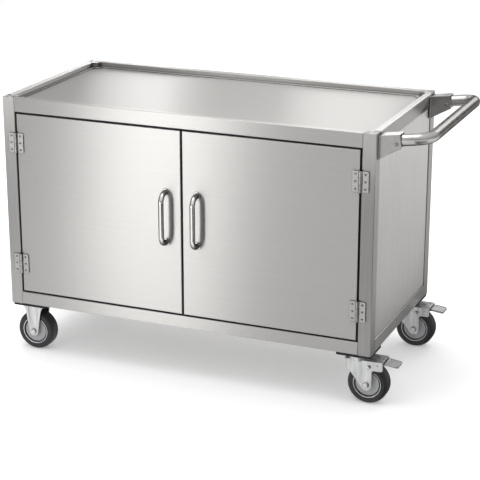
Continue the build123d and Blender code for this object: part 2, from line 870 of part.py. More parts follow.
def swivel_fork(end):
    """Swivelling fork: crown with the lower race, and cheeks that widen into the brake housing."""
    y = end * caster_y
    crown_left = -swivel_trail - crown_reach
    crown_bottom = crown_top - fork_sheet
    skirt_z = crown_height - crown_skirt
    housing_x = brake_x + housing_reach
    housing_z = brake_z - housing_drop
    touch_x, touch_z = tangent_point(crown_left, skirt_z, fork_boss_radius)
    outline = [
        (crown_left, crown_height),
        (crown_left, skirt_z),
        (touch_x, touch_z),
        (fork_boss_radius, 0),
        (fork_boss_radius, housing_z),
        (housing_x, housing_z),
        (housing_x, crown_height),
    ]
    face = make_face(Polyline(*outline, close=True))
    rounded = [(crown_left, skirt_z), (fork_boss_radius, housing_z), (housing_x, housing_z)]
    bends = [face.vertices().sort_by_distance((x, z, 0))[0] for x, z in rounded]
    face = fillet(bends, fork_corner_radius)
    fork = block(
        (swivel_axle_x + crown_left, y - fork_half_width, crown_bottom),
        (swivel_axle_x + housing_x, y + fork_half_width, crown_top),
    )
    race_top = (right_caster_x, y, crown_top + race_lower_height)
    fork += rod(race_radius, (right_caster_x, y, crown_bottom), race_top)
    for cheek_y in (y - fork_half_width, y + fork_half_gap):
        fork += fork_cheek(face, fork_boss_radius, swivel_axle_x, cheek_y)
    fork -= brake_pin(end, brake_pin_radius + running_clearance)
    return fork - rod(kingpin_radius + running_clearance, (right_caster_x, y, crown_bottom), race_top)


def brake_pedal(end):
    """Foot pedal on its pivot pin, with a shoe above the tyre and a bordered pad beyond the housing."""
    y = end * caster_y
    half_arm = fork_half_gap - pedal_side_gap
    half_bar = pedal_arm_thickness / 2
    half_pad = pedal_pad_width / 2
    pad_start = housing_reach + pedal_gap
    pad_end = pad_start + pedal_pad_length
    slope = math.tan(math.radians(pedal_pad_slope))
    pad_low = pedal_pad_lift - pedal_pad_thickness

    def pad_layer(start, end_x, top, bottom, half):
        """Sloping slab of the pad between two places along it and two depths below its top."""
        corners = [
            (start, pedal_pad_lift - top - slope * (start - pad_start)),
            (end_x, pedal_pad_lift - top - slope * (end_x - pad_start)),
            (end_x, pedal_pad_lift - bottom - slope * (end_x - pad_start)),
            (start, pedal_pad_lift - bottom - slope * (start - pad_start)),
        ]
        seat = Plane(origin=(pivot_x, y - half, pivot_z), x_dir=(1, 0, 0), z_dir=(0, -1, 0))
        return extrude(seat * make_face(Polyline(*corners, close=True)), amount=2 * half, dir=(0, 1, 0))

    arm = make_face(
        Polyline(
            (-half_bar, half_bar),
            (half_bar, -half_bar),
            (pad_start + half_bar, pad_low - slope * half_bar),
            (pad_start + half_bar, pedal_pad_lift - slope * half_bar),
            close=True,
        )
    )
    shoe = make_face(
        Polyline(
            (-half_bar, half_bar),
            (brake_shoe_x - brake_shoe_radius, -brake_shoe_drop),
            (brake_shoe_x + brake_shoe_radius, -brake_shoe_drop),
            (pad_start / 2, half_bar),
            close=True,
        )
    )
    shoe += Pos(brake_shoe_x, -brake_shoe_drop) * Circle(brake_shoe_radius)
    seat = Plane(origin=(pivot_x, y - half_arm, pivot_z), x_dir=(1, 0, 0), z_dir=(0, -1, 0))
    lever = extrude(seat * (arm + shoe), amount=2 * half_arm, dir=(0, 1, 0))
    pad = pad_layer(pad_start, pad_end, 0, pedal_pad_thickness, half_pad)
    pad = fillet(pad.edges().filter_by(Axis.Z).sort_by(Axis.X)[-2:], pedal_corner_radius)
    recess_start = pad_start + pedal_pad_border
    recess_end = pad_end - pedal_pad_border
    pad -= pad_layer(recess_start, recess_end, 0, pedal_pad_recess, half_pad - pedal_pad_border)
    return lever + pad + brake_pin(end, brake_pin_radius)


def wheel_profile(face, axle_x, middle_y):
    """Turn a face drawn as (radius, distance across the wheel) about the axle."""
    seat = Plane(origin=(axle_x, middle_y, wheel_radius), x_dir=(1, 0, 0), z_dir=(0, 1, 0))
    upright = Plane.XZ * face
    return seat * revolve(upright, Axis.Z)


def tyre(axle_x, middle_y):
    """Solid tyre with a round shouldered tread."""
    half = tyre_width / 2
    corners = [(hub_radius, -half), (wheel_radius, -half), (wheel_radius, half), (hub_radius, half)]
    section = make_face(Polyline(*corners, close=True))
    tread = section.vertices().sort_by(Axis.X)[-2:]
    return wheel_profile(fillet(tread, tyre_shoulder), axle_x, middle_y)


def hub(axle_x, middle_y):
    """Wheel centre: bright outer ring, groove, dished disc and bearing boss with the axle bore."""
    rim = hub_radius - screw_clearance
    rim_half = tyre_width / 2 - hub_rim_recess
    ring_inner = rim - hub_ring_width
    groove_inner = ring_inner - hub_groove_width
    groove_half = rim_half - hub_groove_depth
    disc_half = rim_half - hub_dish / 2
    dish_half = rim_half - hub_dish
    boss_half = hub_width / 2
    bore = axle_radius + running_clearance
    upper = [
        (bore, boss_half),
        (hub_boss_radius, boss_half),
        (hub_boss_radius, dish_half),
        (groove_inner, disc_half),
        (groove_inner, groove_half),
        (ring_inner, groove_half),
        (ring_inner, rim_half),
        (rim, rim_half),
    ]
    lower = [(radius, -place) for radius, place in reversed(upper)]
    return wheel_profile(make_face(Polyline(*upper, *lower, close=True)), axle_x, middle_y)


left_axles = []
for end_name, end in (("front", -1), ("rear", 1)):
    y = end * caster_y
    nodes[f"{end_name}_left_fork"] = rigid_fork(end)
    left_axles.append(axle_bolt(left_caster_x, y))
    nodes[f"{end_name}_right_caster_plate"] = swivel_plate(end)
    nodes[f"{end_name}_right_fork"] = swivel_fork(end)
    nodes[f"{end_name}_right_axle"] = axle_bolt(swivel_axle_x, y)
    nodes[f"{end_name}_brake_pedal"] = brake_pedal(end)
    for side_name, axle_x in (("left", left_caster_x), ("right", swivel_axle_x)):
        nodes[f"{end_name}_{side_name}_tyre"] = tyre(axle_x, y)
        nodes[f"{end_name}_{side_name}_hub"] = hub(axle_x, y)
nodes["left_caster_axles"] = group(left_axles)
nodes["caster_kingpins"] = group(kingpin(end) for end in (-1, 1))

os.makedirs("parts", exist_ok=True)
to_reference = Pos(-origin_x, -origin_y, 0)
for name, shape in nodes.items():
    export_step(to_reference * shape, f"parts/{name}.step")
print(len(nodes), "nodes; rim", cabinet_top, "mm and grip", round(grip_z, 1), "mm above the floor")
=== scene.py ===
# %% [markdown]
# # A stainless steel cabinet trolley
# The CAD frame brings every piece at its real size and place. This lesson dresses it: brushed, satin and
# polished steel, zinc-plated caster forks, turned wheels, screws and door seals, and a plain white studio
# to look at it in.

# %% Load the frame
import math

import bmesh
import bpy
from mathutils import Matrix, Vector


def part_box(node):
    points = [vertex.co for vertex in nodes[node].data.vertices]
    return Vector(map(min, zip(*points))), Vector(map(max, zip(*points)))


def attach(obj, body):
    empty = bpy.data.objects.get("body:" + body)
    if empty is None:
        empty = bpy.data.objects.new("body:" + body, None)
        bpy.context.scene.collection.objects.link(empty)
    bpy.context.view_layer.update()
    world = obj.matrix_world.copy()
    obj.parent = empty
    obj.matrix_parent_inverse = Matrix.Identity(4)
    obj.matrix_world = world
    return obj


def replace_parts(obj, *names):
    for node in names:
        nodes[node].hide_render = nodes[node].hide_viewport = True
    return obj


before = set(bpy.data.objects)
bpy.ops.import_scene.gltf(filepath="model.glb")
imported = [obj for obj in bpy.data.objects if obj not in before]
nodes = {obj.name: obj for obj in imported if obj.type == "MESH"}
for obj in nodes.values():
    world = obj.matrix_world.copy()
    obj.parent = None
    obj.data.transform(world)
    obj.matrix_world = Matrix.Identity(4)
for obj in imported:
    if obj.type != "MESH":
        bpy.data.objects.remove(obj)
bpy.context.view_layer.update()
scene = bpy.context.scene
MM = 0.001

# %% [markdown]
# ## Helpers for materials
# Colours are written as the hex values that a paint card would give. Blender's shaders work in linear
# light, so one function converts them. Another adds a shader node, sets its sockets and links what feeds
# it, which keeps each finish below readable as a short list. A third gives a finish to pieces that came
# with a plain one.

# %% Helpers for materials
def linear(hex_colour):
    """An sRGB hex colour as a linear RGBA tuple."""
    channels = [int(hex_colour[i:i + 2], 16) / 255 for i in (1, 3, 5)]
    return tuple(c / 12.92 if c <= 0.04045 else ((c + 0.055) / 1.055) ** 2.4 for c in channels) + (1.0,)


def add(tree, kind, settings=None, **sockets):
    """A node of that kind. Sockets go by name, or by i and a number, and take a value or a linked output."""
    node = tree.nodes.new(kind)
    for name, value in (settings or {}).items():
        setattr(node, name, value)
    for name, value in sockets.items():
        key = int(name[1:]) if name[0] == "i" and name[1:].isdigit() else name.replace("_", " ")
        socket = node.inputs[key]
        if isinstance(value, bpy.types.NodeSocket):
            tree.links.new(value, socket)
        else:
            socket.default_value = value
    return node


def new_material(name):
    """An empty node material, its tree and its output node."""
    material = bpy.data.materials.new(name)
    material.use_nodes = True
    material.node_tree.nodes.clear()
    return material, material.node_tree, add(material.node_tree, "ShaderNodeOutputMaterial")


def dress(material, *names):
    """Gives CAD nodes a material in place of the plain one they came with."""
    for name in names:
        mesh = nodes[name].data
        mesh.materials.clear()
        mesh.materials.append(material)


print("linear mid grey:", [round(c, 3) for c in linear("#808080")[:3]])

# %% [markdown]
# ## Painted shade in seams, wear and light on edges
# Two marks make sheet metal read as real. Shade falls in the seams where pieces meet, and edges are never
# knife sharp: folding and polishing round them, so they catch a thin line of light and wear paler.
# Both could be modelled, but that would change every mesh. Here the seams get painted shade from ambient
# occlusion over a few millimetres, and the round edges come from a bevelled normal with a paler colour
# painted along them as wear and highlight, and both work on any piece as it stands.

# %% Seams and edges
SEAM_REACH = 8 * MM
# Share of open space at which the painted seam shade starts, at which it is darkest, and the tone left there
SEAM_START, SEAM_END, SEAM_TONE = 0.85, 0.3, 0.25
EDGE_RADIUS = 1.6 * MM
# Cosine of the normal's turn at which an edge starts to shine, and at which it shines in full
EDGE_START, EDGE_END = 0.985, 0.85
PROBES = 6


def seam_shade_and_edge_sheen(tree, tone, edge_wear_and_sheen):
    """Paints shade into a tone in seams and a paler tone along edges, as wear and highlight: returns the
    colour and the rounded normal.
    """
    soft = add(tree, "ShaderNodeBevel", {"samples": PROBES}, Radius=EDGE_RADIUS)
    shape = add(tree, "ShaderNodeNewGeometry")
    turn = add(tree, "ShaderNodeVectorMath", {"operation": "DOT_PRODUCT"}, i0=soft.outputs["Normal"],
               i1=shape.outputs["True Normal"])
    # Painted highlight and wear: a paler colour is mixed in along rounded edges
    edge = add(tree, "ShaderNodeMapRange", Value=turn.outputs["Value"], From_Min=EDGE_START,
               From_Max=EDGE_END)
    # A Mix node takes its two colours at sockets 6 and 7 and gives the mixed one at socket 2
    edge_wear_and_sheen_mix = add(tree, "ShaderNodeMix", {"data_type": "RGBA"}, i0=edge.outputs["Result"], i6=tone,
                 i7=linear(edge_wear_and_sheen))
    # Painted shade: ambient occlusion darkens the colour in seams and corners
    seams = add(tree, "ShaderNodeAmbientOcclusion", {"samples": PROBES}, Distance=SEAM_REACH)
    shade = add(tree, "ShaderNodeMapRange", Value=seams.outputs["AO"], From_Min=SEAM_END, From_Max=SEAM_START,
                To_Min=SEAM_TONE)
    colour = add(tree, "ShaderNodeVectorMath", {"operation": "SCALE"}, i0=edge_wear_and_sheen_mix.outputs[2],
                 Scale=shade.outputs["Result"])
    return colour.outputs["Vector"], soft.outputs["Normal"]


print("seams reach", SEAM_REACH, "m, edges are rounded to", EDGE_RADIUS, "m")

# %% [markdown]
# ## Brushed stainless steel sheet
# The cabinet is sheet and tube with a brushed finish: an abrasive belt leaves fine parallel scratches along
# one direction. Scratches spread a reflection across themselves, which is anisotropy, so light stands in
# bands at right angles to the grain. The grain is a noise stretched along one axis. Real scratches are
# under 0.1 mm wide and would vanish at this distance, so they are drawn a few millimetres wide, just enough
# to show. Sheet is never quite flat either: a second, very broad bump lets the bands wander a little, as
# they do on a real panel.

# %% Brushed stainless steel
GRAIN_WIDTH = 2.4 * MM
GRAIN_LENGTH = 260 * MM
GRAIN_HEIGHT = 0.5 * MM
GRAIN_STRENGTH = 0.03
PANEL_WAVE = 320 * MM
PANEL_BOW = 0.6 * MM
SMOOTHEST, ROUGHEST = 0.33, 0.39
# Paler colour painted along edges, partly wear and partly painted highlight
EDGE_WEAR_AND_SHEEN = "#D6D5D3"


def brushed_steel(name, grain_axis, light, dark):
    """Brushed stainless with its grain along one axis: pale grey, with bands of light across the grain."""
    material, tree, output = new_material(name)
    stretch = [1 / GRAIN_WIDTH] * 3
    stretch["XYZ".index(grain_axis)] = 1 / GRAIN_LENGTH
    place = add(tree, "ShaderNodeTexCoord")
    along = add(tree, "ShaderNodeMapping", Vector=place.outputs["Object"], Scale=stretch)
    grain = add(tree, "ShaderNodeTexNoise", Vector=along.outputs["Vector"], Scale=1.0, Detail=3.0,
                Roughness=0.6)
    tone = add(tree, "ShaderNodeMix", {"data_type": "RGBA"}, i0=grain.outputs["Fac"], i6=linear(dark),
               i7=linear(light))
    colour, rounded = seam_shade_and_edge_sheen(tree, tone.outputs[2], EDGE_WEAR_AND_SHEEN)
    rough = add(tree, "ShaderNodeMapRange", Value=grain.outputs["Fac"], To_Min=SMOOTHEST, To_Max=ROUGHEST)
    wave = add(tree, "ShaderNodeTexNoise", Vector=place.outputs["Object"], Scale=1 / PANEL_WAVE, Detail=0.0)
    bow = add(tree, "ShaderNodeBump", Height=wave.outputs["Fac"], Strength=1.0, Distance=PANEL_BOW,
              Normal=rounded)
    ripple = add(tree, "ShaderNodeBump", Height=grain.outputs["Fac"], Strength=GRAIN_STRENGTH,
                 Distance=GRAIN_HEIGHT, Normal=bow.outputs["Normal"])
    around = add(tree, "ShaderNodeTangent", {"direction_type": "RADIAL", "axis": grain_axis})
    steel = add(tree, "ShaderNodeBsdfPrincipled", Base_Color=colour, Metallic=1.0, Anisotropic=1.0,
                Roughness=rough.outputs["Result"], Normal=ripple.outputs["Normal"],
                Tangent=around.outputs["Tangent"])
    tree.links.new(steel.outputs["BSDF"], output.inputs["Surface"])
    return material


print("scratches drawn", GRAIN_WIDTH, "m wide and", GRAIN_LENGTH, "m long")

# %% [markdown]
# ## Which way the grain runs
# Tube and sheet are brushed along their length before they are cut, so rails carry the grain lengthwise,
# posts upright, and the doors and the top across the trolley. The two ends are upright too, on a copy of the
# steel painted brighter to stand for the light their panels catch. One material for each direction and tone
# is enough, because the grain reads the piece's own coordinates.

# %% Rails, posts, doors and panels
GRAIN_TONES = {"X": ("#B5B3B1", "#A9A8A6"), "Y": ("#ACAAA8", "#9E9D9B"), "Z": ("#B2B0AE", "#989795")}
steel_along = {axis: brushed_steel(f"brushed_stainless_grain_{axis.lower()}", axis, *tones)
               for axis, tones in GRAIN_TONES.items()}
tray_steel = brushed_steel("brushed_stainless_top", "X", "#ABA9A7", "#9F9E9C")
# The end panels: upright grain painted lighter than the posts, for the light they catch
side_steel_painted_lighter = brushed_steel("brushed_stainless_side_panel", "Z", "#D8D6D4", "#B2B0AE")

dress(steel_along["X"], "front_top_rail", "rear_top_rail", "front_bottom_rail", "rear_bottom_rail",
      "left_door_skin", "right_door_skin", "left_door_liner", "right_door_liner", "back_panel", "floor_panel",
      "inner_shelf")
dress(steel_along["Y"], "left_top_rail", "right_top_rail", "left_bottom_rail", "right_bottom_rail",
      "shelf_angles")
dress(steel_along["Z"], "front_left_post", "front_right_post", "rear_left_post", "rear_right_post")
dress(tray_steel, "top_tray")
dress(side_steel_painted_lighter, "left_side_panel", "right_side_panel")
print("brushed steel:", [m.name for m in (*steel_along.values(), tray_steel, side_steel_painted_lighter)])

# %% [markdown]
# ## The other finishes
# Satin tube for the push handle, zinc on the casters, rubber and nylon on the wheels. Each could have a
# texture of its own, but at this distance one soft mottle that varies tone and roughness is what the eye
# finds, at a scale taken from the real surface. Metals also darken near their outline, a tint of the
# glancing reflection that polished tube and plated steel show beside a white floor. The polished pulls go
# further: their colour is painted darker on the flanks that turn from the eye, a painted reflection of the
# dim ends of the room that a bright bar mirrors there.

# %% A mottled finish
MOTTLE_LOW, MOTTLE_HIGH = 0.3, 0.7
# How far a surface turns from the eye, from 0 to 1, where the painted flank shade starts and where it is
# darkest
FLANK_START, FLANK_END = 0.05, 0.40


def mottled(name, colour, edge_wear_and_sheen, metallic, roughness, mottle_size, glancing="#FFFFFF", spread=0.04,
            tone_spread=0.06, drawn=1.0, painted_flank_shade=1.0):
    """A finish with a soft mottle, drawn out in height by a factor. Painted shade leaves its flanks, as they
    turn from the eye, a share of its tone.
    """
    material, tree, output = new_material(name)
    place = add(tree, "ShaderNodeTexCoord")
    sized = add(tree, "ShaderNodeMapping", Vector=place.outputs["Object"],
                Scale=(1 / mottle_size, 1 / mottle_size, 1 / (mottle_size * drawn)))
    mottle = add(tree, "ShaderNodeTexNoise", Vector=sized.outputs["Vector"], Scale=1.0, Detail=2.0)
    rough = add(tree, "ShaderNodeMapRange", Value=mottle.outputs["Fac"], From_Min=MOTTLE_LOW,
                From_Max=MOTTLE_HIGH, To_Min=roughness - spread, To_Max=roughness + spread)
    drift = add(tree, "ShaderNodeMapRange", Value=mottle.outputs["Fac"], From_Min=MOTTLE_LOW,
                From_Max=MOTTLE_HIGH, To_Min=1 - tone_spread, To_Max=1 + tone_spread)
    tone = add(tree, "ShaderNodeVectorMath", {"operation": "SCALE"}, i0=linear(colour)[:3],
               Scale=drift.outputs["Result"])
    final, rounded = seam_shade_and_edge_sheen(tree, tone.outputs["Vector"], edge_wear_and_sheen)
    # Painted reflection: the colour darkens where the surface turns from the eye, for the dim room a bar
    # mirrors at its flanks
    away = add(tree, "ShaderNodeLayerWeight", Blend=0.5)
    fall = add(tree, "ShaderNodeMapRange", Value=away.outputs["Facing"], From_Min=FLANK_START,
               From_Max=FLANK_END, To_Min=1.0, To_Max=painted_flank_shade)
    shaded = add(tree, "ShaderNodeVectorMath", {"operation": "SCALE"}, i0=final, Scale=fall.outputs["Result"])
    body = add(tree, "ShaderNodeBsdfPrincipled", Base_Color=shaded.outputs["Vector"], Metallic=metallic,
               Roughness=rough.outputs["Result"], Specular_Tint=linear(glancing), Normal=rounded)
    tree.links.new(body.outputs["BSDF"], output.inputs["Surface"])
    return material


print("a mottle runs from", MOTTLE_LOW, "to", MOTTLE_HIGH, "of its noise")

# %% Stainless steel of the handle, pulls and hinges
# Tube ground to a satin: soft lights along it and a greyer outline
satin_tube = mottled("satin_stainless_tube", "#B8B6B4", edge_wear_and_sheen="#C8C7C5", metallic=1.0, roughness=0.28,
                     mottle_size=40 * MM, glancing="#585858")
# Bar polished nearly to a mirror: a sharp light down its middle between flanks painted dark
polished_bar = mottled("polished_stainless_bar", "#EDECEA", edge_wear_and_sheen="#EDECEA", metallic=1.0, roughness=0.14,
                       mottle_size=20 * MM, glancing="#383838", painted_flank_shade=0.35)
# Tumbled leaves and pins: bright, but greyer than the doors they stand on
hinge_steel = mottled("polished_stainless_hinge", "#A09F9D", edge_wear_and_sheen="#A9A8A6", metallic=1.0, roughness=0.26,
                      mottle_size=12 * MM, glancing="#484848")
# Screws as they come from the bag: dull and dark against polished steel
screw_steel = mottled("dull_stainless_screw", "#8E8D8B", edge_wear_and_sheen="#A2A19F", metallic=1.0, roughness=0.36,
                      mottle_size=5 * MM, glancing="#484848")
# Folded brackets, ground after welding: a quiet grey, with edges painted paler as wear and highlight
bracket_steel = mottled("satin_stainless_bracket", "#999896", edge_wear_and_sheen="#C4C3C1", metallic=1.0, roughness=0.32,
                        mottle_size=20 * MM)

dress(satin_tube, "push_handle_grip", "push_handle_elbows")
dress(polished_bar, "left_door_pull", "right_door_pull")
dress(hinge_steel, "hinge_frame_leaves", "hinge_pins", "left_door_hinge_leaves", "right_door_hinge_leaves")
dress(bracket_steel, "front_handle_bracket", "rear_handle_bracket")
print("handle in", satin_tube.name, "and pulls in", polished_bar.name)

# %% Metals of the casters
# Cold-headed bolts and axles: small and bright
bright_bolt = mottled("bright_stainless_fastener", "#C2C1BF", edge_wear_and_sheen="#E0E0DE", metallic=1.0, roughness=0.22,
                      mottle_size=5 * MM)
# Zinc over pressed sheet: pale, with upright streaks left by the bath
zinc_steel = mottled("zinc_plated_pressed_steel", "#C2C3C3", edge_wear_and_sheen="#E2E2E2", metallic=1.0, roughness=0.36,
                     mottle_size=14 * MM, glancing="#484848", tone_spread=0.26, drawn=9.0)
# The pedals are trodden on: greyer and rougher, with edges worn and painted paler
pedal_steel = mottled("pressed_pedal_steel", "#A0A1A2", edge_wear_and_sheen="#D4D4D4", metallic=1.0, roughness=0.40,
                      mottle_size=6 * MM)
# The ring that holds a tyre is the brightest line on a wheel
ring_steel = mottled("polished_rim_ring", "#E2E2E2", edge_wear_and_sheen="#F0F0F0", metallic=1.0, roughness=0.38,
                     mottle_size=5 * MM)

dress(bright_bolt, "left_caster_axles", "caster_kingpins", "front_right_axle", "rear_right_axle")
for end in ("front", "rear"):
    dress(zinc_steel, f"{end}_left_fork", f"{end}_right_caster_plate", f"{end}_right_fork")
    dress(pedal_steel, f"{end}_brake_pedal")
print("casters in", zinc_steel.name, "with pedals in", pedal_steel.name)

# %% Rubber and plastics
# Tyre rubber: nearly black, greyed by the floor and paler where an edge is scuffed
rubber = mottled("moulded_grey_rubber", "#232325", edge_wear_and_sheen="#4A4A4C", metallic=0.0, roughness=0.46,
                 mottle_size=8 * MM, tone_spread=0.15)
# Seals and pads: dead black rubber, so that they read as lines; the black also paints the shade in the door
# gaps and the shadow gap over each caster
black_rubber_and_gap_shade = mottled("black_seal_rubber", "#0B0B0C", edge_wear_and_sheen="#161617", metallic=0.0, roughness=0.70,
                      mottle_size=6 * MM)
# Nylon wheel centres: a cool light grey with a low moulded shine
hub_plastic = mottled("moulded_grey_nylon", "#A6A7AA", edge_wear_and_sheen="#C4C5C8", metallic=0.0, roughness=0.38,
                      mottle_size=10 * MM)
# Magnet catches: black and matt
black_plastic = mottled("moulded_black_plastic", "#202022", edge_wear_and_sheen="#343436", metallic=0.0, roughness=0.5,
                        mottle_size=6 * MM)

dress(black_plastic, "door_catches")
dress(black_rubber_and_gap_shade, "caster_pads")
print("materials so far:", len(bpy.data.materials))

# %% [markdown]
# ## Meshes from rings
# Wheels, screw heads and seals are all made alike here: rings of points, and faces from each ring to the
# next. A modifier could spin or sweep them, but plain rings keep every edge where the section says and
# leave nothing to apply. Three helpers do it: one joins two rings, one makes the mesh, and one puts it in
# the scene on its body.

# %% Helpers for meshes
SHARP_DEGREES = 35


def bridge(shape, ring, following):
    """Faces between two closed rings with as many points."""
    for i in range(len(ring)):
        j = (i + 1) % len(ring)
        shape.faces.new((ring[i], ring[j], following[j], following[i]))


def mesh_of(shape, name, material=None):
    """A mesh from a bmesh, with its faces outwards and its finish, if it has one yet."""
    bmesh.ops.recalc_face_normals(shape, faces=shape.faces)
    mesh = bpy.data.meshes.new(name)
    shape.to_mesh(mesh)
    shape.free()
    if material:
        mesh.materials.append(material)
    return mesh


def show(mesh, body):
    """Puts a finished mesh in the scene as a piece of that body, smooth except at sharp corners."""
    mesh.shade_smooth()
    mesh.set_sharp_from_angle(angle=math.radians(SHARP_DEGREES))
    piece = bpy.data.objects.new(mesh.name, mesh)
    scene.collection.objects.link(piece)
    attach(piece, body)
    return piece


print("corners stay sharp from", SHARP_DEGREES, "degrees")

# %% [markdown]
# ## Wheels
# A caster wheel is turned about its axle, so its pieces are lathe work: a section of radius and distance
# across the wheel, carried round in steps. The rubber tyre has a flat tread with round shoulders and a
# raised line on its sidewall, a bright ring holds it, and the nylon centre is dished between a groove and
# the bearing boss.

# %% Wheel sections
def both_sides(half):
    """A closed section from its outline on one side of the wheel's middle, listed from the bore outwards."""
    return half + [(radius, -across) for radius, across in reversed(half)]


# Sections are points of (radius, distance across) in millimetres
TREAD_RADIUS = 62.5
HALF_WIDTH = 24.0
SHOULDER_RADIUS = 12.0
HALF_TREAD = 6.0
shoulder = []
for degrees in range(15, 91, 15):
    angle = math.radians(degrees)
    shoulder.append((TREAD_RADIUS - SHOULDER_RADIUS + SHOULDER_RADIUS * math.sin(angle),
                     HALF_WIDTH - SHOULDER_RADIUS + SHOULDER_RADIUS * math.cos(angle)))
TYRE_SECTION = both_sides([(44.0, 21.0), (44.6, 22.6), (46.0, 23.2), (48.4, 23.0), (49.2, 22.4), (50.2, 22.5),
                           (50.8, 23.5), (52.2, 23.9)] + shoulder + [(TREAD_RADIUS, HALF_TREAD)])
RING_SECTION = [(43.9, 16.0), (43.9, 21.6), (43.3, 22.6), (42.5, 22.9), (41.6, 22.6), (41.0, 21.6),
                (41.0, 16.0)]
FAR_RING_SECTION = [(radius, -across) for radius, across in RING_SECTION]
CENTRE_SECTION = both_sides([(5.1, 27.0), (15.0, 27.0), (16.0, 26.0), (16.4, 18.2), (18.0, 17.2),
                             (26.0, 17.4), (34.6, 18.6), (36.2, 18.4), (36.9, 17.4), (37.2, 13.0),
                             (40.9, 13.0), (41.0, 15.8), (43.9, 15.8)])
print("a tyre's section has", len(TYRE_SECTION), "points, a centre's", len(CENTRE_SECTION))

# %% Turned wheel pieces
TURN_STEPS = 96


def turned(name, sections, axle, material):
    """A mesh turned about the wheel's axle from closed sections."""
    shape = bmesh.new()
    angles = [2 * math.pi * step / TURN_STEPS for step in range(TURN_STEPS)]
    for section in sections:
        rings = [[shape.verts.new((axle.x + radius * MM * math.cos(angle), axle.y + across * MM,
                                   axle.z + radius * MM * math.sin(angle))) for angle in angles]
                 for radius, across in section]
        for ring, following in zip(rings, rings[1:] + rings[:1]):
            bridge(shape, ring, following)
    return mesh_of(shape, name, material)


wheels = [f"{end}_{side}" for end in ("front", "rear") for side in ("left", "right")]
for wheel in wheels:
    low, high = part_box(f"{wheel}_tyre")
    axle = (low + high) / 2
    body = f"{wheel}_wheel"
    tyre = turned(f"{wheel}_moulded_tyre", [TYRE_SECTION], axle, rubber)
    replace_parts(show(tyre, body), f"{wheel}_tyre")
    rim_ring = turned(f"{wheel}_rim_ring", [RING_SECTION, FAR_RING_SECTION], axle, ring_steel)
    show(rim_ring, body)
    centre = turned(f"{wheel}_wheel_centre", [CENTRE_SECTION], axle, hub_plastic)
    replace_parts(show(centre, body), f"{wheel}_hub")
print("wheels turned:", wheels)

# %% [markdown]
# ## Fasteners
# Screws, rivets and bolts repeat, so one Geometry Nodes tree sets them all: it takes points, puts a unit
# head on each, scales it to the head's radius and height, faces it the right way and turns it about its own
# axis by a seeded random angle, as real screws stop anywhere. The heads themselves are small meshes with a
# real cross recess, a dome or six flats. The points are read from the CAD solids that the heads stand for.

# %% Places of the CAD fasteners
MERGE_DISTANCE = 0.001 * MM


def solids_of(name):
    """Lowest and highest corners of each solid in a CAD node, sorted so that every run lists them alike."""
    shape = bmesh.new()
    shape.from_mesh(nodes[name].data)
    bmesh.ops.remove_doubles(shape, verts=shape.verts, dist=MERGE_DISTANCE)
    left = set(shape.verts)
    boxes = []
    while left:
        spread = [left.pop()]
        found = []
        while spread:
            vert = spread.pop()
            found.append(vert.co.copy())
            for edge in vert.link_edges:
                other = edge.other_vert(vert)
                if other in left:
                    left.remove(other)
                    spread.append(other)
        boxes.append((Vector([min(c[i] for c in found) for i in range(3)]),
                      Vector([max(c[i] for c in found) for i in range(3)])))
    shape.free()
    return sorted(boxes, key=lambda box: tuple(box[0]))


def seats(boxes, facing, height):
    """Where heads of that height sit: in the middle of each solid, a head's height in from its outer end."""
    axis = "XYZ".index(facing[1])
    places = []
    for low, high in boxes:
        place = (low + high) / 2
        place[axis] = low[axis] + height if facing[0] == "-" else high[axis] - height
        places.append(place)
    return places


print("hinge screws in the frame:", len(solids_of("hinge_frame_screws")))

# %% Unit heads
RECESS_TAPER = 0.7


def sink_cross(shape, rim, arm, half, depth):
    """Closes a head's top ring round a cross recess with arms of that reach and half width."""
    top = rim[0].co.z
    arm_end = [(arm, -half), (arm, half), (half, half)]
    cross = []
    while len(cross) < 4 * len(arm_end):
        cross += arm_end
        arm_end = [(-y, x) for x, y in arm_end]
    mouth = [shape.verts.new((x, y, top)) for x, y in cross]
    bed = [shape.verts.new((x * RECESS_TAPER, y * RECESS_TAPER, top - depth)) for x, y in cross]
    bridge(shape, mouth, bed)
    shape.faces.new(bed)
    outlines = [shape.edges.get(pair) for loop in (rim, mouth) for pair in zip(loop, loop[1:] + loop[:1])]
    bmesh.ops.triangle_fill(shape, use_beauty=True, edges=outlines)


def unit_head(name, sides, profile, recess=None):
    """A head on the XY plane: a profile of (radius, height) and a recess of (arm, half width, depth)."""
    shape = bmesh.new()
    angles = [2 * math.pi * i / sides for i in range(sides)]
    rings = [[shape.verts.new((radius * math.cos(angle), radius * math.sin(angle), height))
              for angle in angles] for radius, height in profile]
    for ring, above in zip(rings, rings[1:]):
        bridge(shape, ring, above)
    shape.faces.new(list(reversed(rings[0])))
    if recess:
        sink_cross(shape, rings[-1], *recess)
    else:
        shape.faces.new(rings[-1])
    return bpy.data.objects.new(name, mesh_of(shape, name))


ROUND = 24
unit_heads = {
    "countersunk": unit_head("countersunk_head", ROUND, [(1.0, 0.0), (1.0, 0.6), (0.94, 1.0)],
                             recess=(0.55, 0.13, 1.4)),
    "pan": unit_head("pan_head", ROUND, [(1.0, 0.0), (1.0, 0.45), (0.92, 0.8), (0.72, 1.0)],
                     recess=(0.5, 0.14, 0.6)),
    "rivet": unit_head("rivet_head", ROUND, [(1.0, 0.0), (1.0, 0.25), (0.95, 0.5), (0.8, 0.75), (0.55, 0.93),
                                             (0.3, 1.0)]),
    "hex": unit_head("hex_head", 6, [(1.0, 0.0), (1.0, 0.85), (0.88, 1.0)]),
}
print("unit heads:", list(unit_heads))

